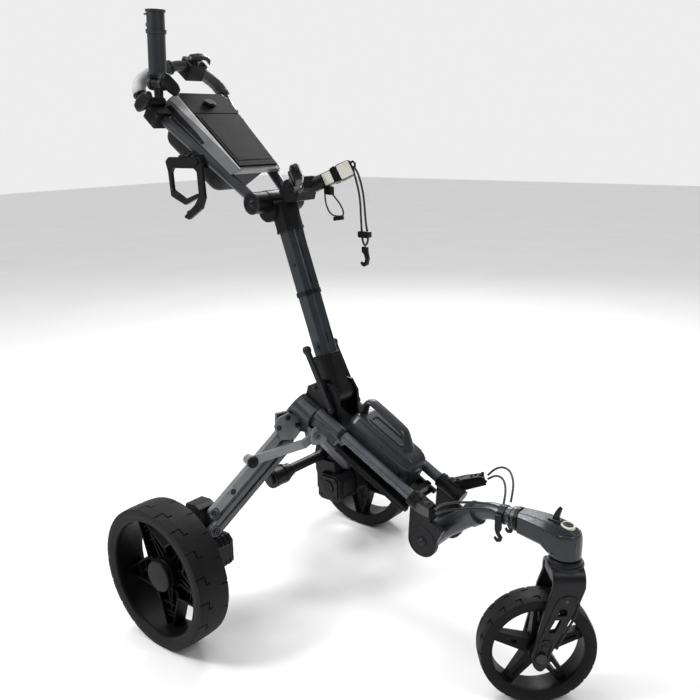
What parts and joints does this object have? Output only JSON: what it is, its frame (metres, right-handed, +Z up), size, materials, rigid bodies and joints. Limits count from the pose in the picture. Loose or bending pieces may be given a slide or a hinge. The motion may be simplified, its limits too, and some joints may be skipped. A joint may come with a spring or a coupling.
{
  "type": "golf push cart",
  "caption": "Folding golf push cart with battery drive, swivelling front wheel, padded bag cradles, console, loop handle and umbrella holder.",
  "frame": {"origin": "on the floor, under the middle of the cart's outline", "axes": "+X forwards, in the direction the cart is pushed, +Y to the cart's left, +Z up"},
  "size_m": [0.9264, 0.66, 1.1289],
  "materials": {
    "charcoal_paint": "satin",
    "grey_paint": "fine texture",
    "grey_paint_light": "fine texture",
    "satin_tube": "satin",
    "bright_alloy": "brushed",
    "black_steel": "dark",
    "black_plastic": "fine texture",
    "charcoal_plastic": "fine texture",
    "battery_case": "satin",
    "console_grey": "satin",
    "console_lid_grey": "fine texture",
    "umbrella_grey": "satin",
    "rim_black": "fine texture",
    "tyre_rubber": "blocky tread",
    "pad_rubber": "dotted",
    "grip_leather": "light grey",
    "cord_black": "woven",
    "cable_rubber": "smooth"
  },
  "bodies": {
    "lower_frame": {"hub_casting": "charcoal_paint", "upright_yoke": "black_plastic", "leg_plates": "grey_paint", "frame_screws": "black_steel", "lower_tubes": "satin_tube", "side_rails": "black_plastic", "tube_clamps": "black_plastic", "link_brackets": "bright_alloy", "battery_tray": "black_plastic", "battery_pack": "battery_case", "pod_plates": "charcoal_plastic", "lower_cradle": "black_plastic", "lower_cords": "cord_black"},
    "upright": {"upright_tube": "satin_tube", "lower_sleeve": "black_plastic", "hinge_head": "black_plastic", "cradle_block": "black_plastic", "cradle_arms": "charcoal_plastic", "cradle_pads": "pad_rubber", "upright_cable": "cable_rubber", "upper_cords": "cord_black", "cord_ends": "black_plastic"},
    "handle": {"hinge_barrel": "black_plastic", "handle_tube": "satin_tube", "handle_grip": "grip_leather", "control_pod": "black_plastic", "console_body": "console_grey", "storage_bin": "charcoal_plastic", "holder_clip": "black_plastic", "umbrella_clamp": "black_plastic"},
    "lid": {"console_lid": "console_lid_grey"},
    "latch": {"lid_latch": "black_plastic"},
    "brake_lever": {"brake_lever": "charcoal_plastic"},
    "drink_holder": {"drink_holder": "black_plastic"},
    "umbrella_stem": {"umbrella_stem": "black_plastic"},
    "umbrella_tube": {"umbrella_tube": "umbrella_grey"},
    "stem_knob": {"stem_knob": "black_plastic"},
    "tilt_knob": {"tilt_knob": "charcoal_plastic"},
    "front_arm": {"front_arm": "charcoal_paint", "steering_head": "charcoal_paint"},
    "swivel_lock": {"swivel_lock": "black_plastic"},
    "fork": {"fork": "charcoal_plastic", "fork_axle": "black_steel"},
    "front_wheel": {"front_rim": "rim_black", "front_tyre": "tyre_rubber"},
    "side_link_right": {"side_link_right": "charcoal_plastic"},
    "leg_main_right": {"leg_main_right": "grey_paint"},
    "leg_upper_right": {"leg_upper_right": "grey_paint_light"},
    "cross_link_right": {"cross_link_right": "grey_paint_light"},
    "drive_right": {"drive_right": "black_plastic"},
    "wheel_right": {"rim_right": "rim_black", "tyre_right": "tyre_rubber"},
    "side_link_left": {"side_link_left": "charcoal_plastic"},
    "leg_main_left": {"leg_main_left": "grey_paint"},
    "leg_upper_left": {"leg_upper_left": "grey_paint_light"},
    "cross_link_left": {"cross_link_left": "grey_paint_light"},
    "drive_left": {"drive_left": "black_plastic", "brake_unit": "charcoal_plastic"},
    "wheel_left": {"rim_left": "rim_black", "tyre_left": "tyre_rubber"}
  },
  "joints": [
    {"name": "upright_fold", "type": "hinge", "parent": "lower_frame", "child": "upright", "pos_m": [-0.055, 0, 0.436], "axis": [0, 1, 0], "range_deg": [0, 60]},
    {"name": "leg_fold_right", "type": "hinge", "parent": "lower_frame", "child": "leg_main_right", "pos_m": [-0.15345, -0.04755, 0.319], "axis": [0.9511, -0.309, 0], "range_deg": [0, 12]},
    {"name": "leg_brace_right", "type": "hinge", "parent": "lower_frame", "child": "leg_upper_right", "pos_m": [-0.15345, -0.04755, 0.356], "axis": [0.9511, -0.309, 0], "range_deg": [0, 12]},
    {"name": "cross_link_swing_right", "type": "hinge", "parent": "lower_frame", "child": "cross_link_right", "pos_m": [-0.07776, -0.04113, 0.358], "axis": [0.9511, -0.309, 0], "range_deg": [0, 9.12]},
    {"name": "drive_level_right", "type": "hinge", "parent": "leg_main_right", "child": "drive_right", "pos_m": [-0.20197, -0.19687, 0.186], "axis": [0.9511, -0.309, 0], "range_deg": [-12, 0]},
    {"name": "wheel_spin_right", "type": "hinge", "parent": "drive_right", "child": "wheel_right", "pos_m": [-0.225, -0.297, 0.135], "axis": [0, 1, 0], "continuous": true},
    {"name": "side_link_swing_right", "type": "hinge", "parent": "upright", "child": "side_link_right", "pos_m": [-0.095, -0.038, 0.52], "axis": [0, 1, 0], "range_deg": [-38, 0]},
    {"name": "leg_fold_left", "type": "hinge", "parent": "lower_frame", "child": "leg_main_left", "pos_m": [-0.15345, 0.04755, 0.319], "axis": [0.9511, 0.309, 0], "range_deg": [-12, 0]},
    {"name": "leg_brace_left", "type": "hinge", "parent": "lower_frame", "child": "leg_upper_left", "pos_m": [-0.15345, 0.04755, 0.356], "axis": [0.9511, 0.309, 0], "range_deg": [-12, 0]},
    {"name": "cross_link_swing_left", "type": "hinge", "parent": "lower_frame", "child": "cross_link_left", "pos_m": [-0.07776, 0.04113, 0.358], "axis": [0.9511, 0.309, 0], "range_deg": [-9.12, 0]},
    {"name": "drive_level_left", "type": "hinge", "parent": "leg_main_left", "child": "drive_left", "pos_m": [-0.20197, 0.19687, 0.186], "axis": [0.9511, 0.309, 0], "range_deg": [0, 12]},
    {"name": "wheel_spin_left", "type": "hinge", "parent": "drive_left", "child": "wheel_left", "pos_m": [-0.225, 0.297, 0.135], "axis": [0, 1, 0], "continuous": true},
    {"name": "side_link_swing_left", "type": "hinge", "parent": "upright", "child": "side_link_left", "pos_m": [-0.095, 0.038, 0.52], "axis": [0, 1, 0], "range_deg": [-38, 0]},
    {"name": "front_arm_fold", "type": "hinge", "parent": "lower_frame", "child": "front_arm", "pos_m": [0.168, 0, 0.22], "axis": [0, 1, 0], "range_deg": [0, 95]},
    {"name": "caster_swivel", "type": "hinge", "parent": "front_arm", "child": "fork", "pos_m": [0.41, 0, 0.257], "axis": [0, 0, 1], "continuous": true},
    {"name": "front_wheel_spin", "type": "hinge", "parent": "fork", "child": "front_wheel", "pos_m": [0.37936, -0.02571, 0.096], "axis": [-0.6428, 0.766, 0], "continuous": true},
    {"name": "swivel_lock_turn", "type": "hinge", "parent": "front_arm", "child": "swivel_lock", "pos_m": [0.39, 0, 0.305], "axis": [0, 1, 0], "range_deg": [0, 25]},
    {"name": "handle_fold", "type": "hinge", "parent": "upright", "child": "handle", "pos_m": [-0.2, 0, 0.785], "axis": [0, 1, 0], "range_deg": [-60, 20]},
    {"name": "lid_open", "type": "hinge", "parent": "handle", "child": "lid", "pos_m": [-0.23841, 0, 0.84916], "axis": [0, 1, 0], "range_deg": [0, 80]},
    {"name": "latch_press", "type": "slide", "parent": "handle", "child": "latch", "axis": [-0.6613, 0, -0.7501], "range_m": [0, 0.002], "stiffness_N_per_m": 400, "springref_m": -0.002},
    {"name": "brake_squeeze", "type": "hinge", "parent": "handle", "child": "brake_lever", "pos_m": [-0.42486, 0.012, 1.05331], "axis": [0.7826, 0, -0.6225], "range_deg": [0, 12], "stiffness_Nm_per_rad": 1.5, "springref_deg": -5.73},
    {"name": "drink_holder_fold", "type": "hinge", "parent": "handle", "child": "drink_holder", "pos_m": [-0.321, -0.1, 0.868], "axis": [-1, 0, 0], "range_deg": [0, 90]},
    {"name": "umbrella_tilt_forward", "type": "hinge", "parent": "handle", "child": "umbrella_stem", "pos_m": [-0.398, -0.095, 0.968], "axis": [0, 1, 0], "range_deg": [0, 40]},
    {"name": "umbrella_tilt_side", "type": "hinge", "parent": "umbrella_stem", "child": "umbrella_tube", "pos_m": [-0.397, -0.095, 1], "axis": [0.9981, 0, -0.061], "range_deg": [0, 60]},
    {"name": "stem_knob_turn", "type": "hinge", "parent": "handle", "child": "stem_knob", "pos_m": [-0.398, -0.097, 0.968], "axis": [0, 1, 0], "continuous": true},
    {"name": "tilt_knob_turn", "type": "hinge", "parent": "umbrella_tube", "child": "tilt_knob", "pos_m": [-0.37205, -0.095, 0.99847], "axis": [0.9981, 0, -0.061], "continuous": true}
  ],
  "couplings": [
    {"joint": "leg_fold_right", "follows": "upright_fold", "ratio": 0.2},
    {"joint": "leg_brace_right", "follows": "upright_fold", "ratio": 0.2},
    {"joint": "cross_link_swing_right", "follows": "upright_fold", "ratio": 0.152},
    {"joint": "drive_level_right", "follows": "upright_fold", "ratio": -0.2},
    {"joint": "side_link_swing_right", "follows": "upright_fold", "ratio": -0.63333},
    {"joint": "leg_fold_left", "follows": "upright_fold", "ratio": -0.2},
    {"joint": "leg_brace_left", "follows": "upright_fold", "ratio": -0.2},
    {"joint": "cross_link_swing_left", "follows": "upright_fold", "ratio": -0.152},
    {"joint": "drive_level_left", "follows": "upright_fold", "ratio": 0.2},
    {"joint": "side_link_swing_left", "follows": "upright_fold", "ratio": -0.63333}
  ]
}
